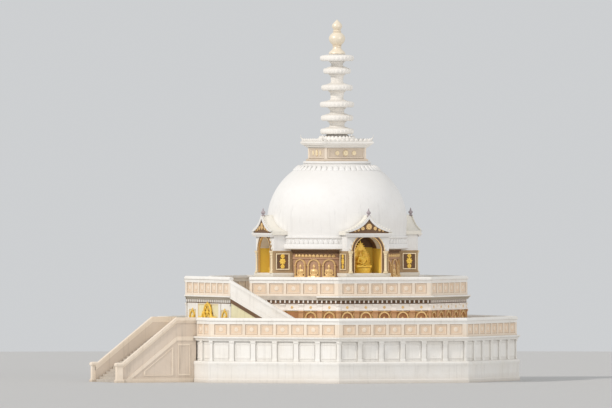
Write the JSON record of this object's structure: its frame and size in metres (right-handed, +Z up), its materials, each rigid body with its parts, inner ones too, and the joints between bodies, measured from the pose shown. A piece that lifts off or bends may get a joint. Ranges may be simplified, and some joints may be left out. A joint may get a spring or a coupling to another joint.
{
  "type": "stupa",
  "caption": "White domed stupa on octagonal terraces with parapets, a wide front stair, arched niches with seated gilded figures, and a ringed spire.",
  "frame": {"origin": "on the dome's axis at ground level", "axes": "+Z up; the main stair faces -Y; X runs across the front"},
  "size_m": [25.26, 31.48, 26.9],
  "materials": {
    "white_plaster": "limewashed plaster",
    "cream_plaster": "cream painted plaster",
    "ochre_plaster": "ochre painted plaster",
    "step_stone": "dressed stone",
    "gilding": "gilded, satin"
  },
  "bodies": {
    "root": {"lower_wall": "white_plaster", "lower_floor": "white_plaster", "lower_parapet_front_left": "cream_plaster", "lower_parapet_front_right": "cream_plaster", "lower_parapet_right_front": "cream_plaster", "lower_parapet_right": "cream_plaster", "lower_parapet_right_back": "cream_plaster", "lower_parapet_back": "cream_plaster", "lower_parapet_left_back": "cream_plaster", "lower_parapet_left": "cream_plaster", "lower_parapet_left_front": "cream_plaster", "main_stair": "step_stone", "stair_wall_right": "cream_plaster", "stair_wall_left": "cream_plaster", "upper_wall": "ochre_plaster", "upper_floor": "white_plaster", "front_bay": "white_plaster", "upper_parapet_right": "cream_plaster", "upper_parapet_right_back": "cream_plaster", "upper_parapet_back": "cream_plaster", "upper_parapet_left_back": "cream_plaster", "upper_parapet_left": "cream_plaster", "upper_parapet_right_front": "cream_plaster", "upper_parapet_left_front": "cream_plaster", "upper_parapet_bay": "cream_plaster", "flight_right": "step_stone", "flight_left": "step_stone", "flight_wall_right": "white_plaster", "flight_wall_left": "white_plaster", "wheel_relief": "gilding", "drum": "ochre_plaster", "dome": "white_plaster", "porch_front": "cream_plaster", "porch_right": "cream_plaster", "porch_back": "cream_plaster", "porch_left": "cream_plaster", "statue_front": "gilding", "statue_right": "gilding", "statue_back": "gilding", "statue_left": "gilding", "harmika": "ochre_plaster", "harmika_cornice": "cream_plaster", "spire_shaft": "white_plaster", "spire_disc_1": "white_plaster", "spire_disc_2": "white_plaster", "spire_disc_3": "white_plaster", "spire_disc_4": "white_plaster", "spire_disc_5": "white_plaster", "spire_disc_6": "white_plaster", "finial": "gilding"}
  },
  "joints": []
}
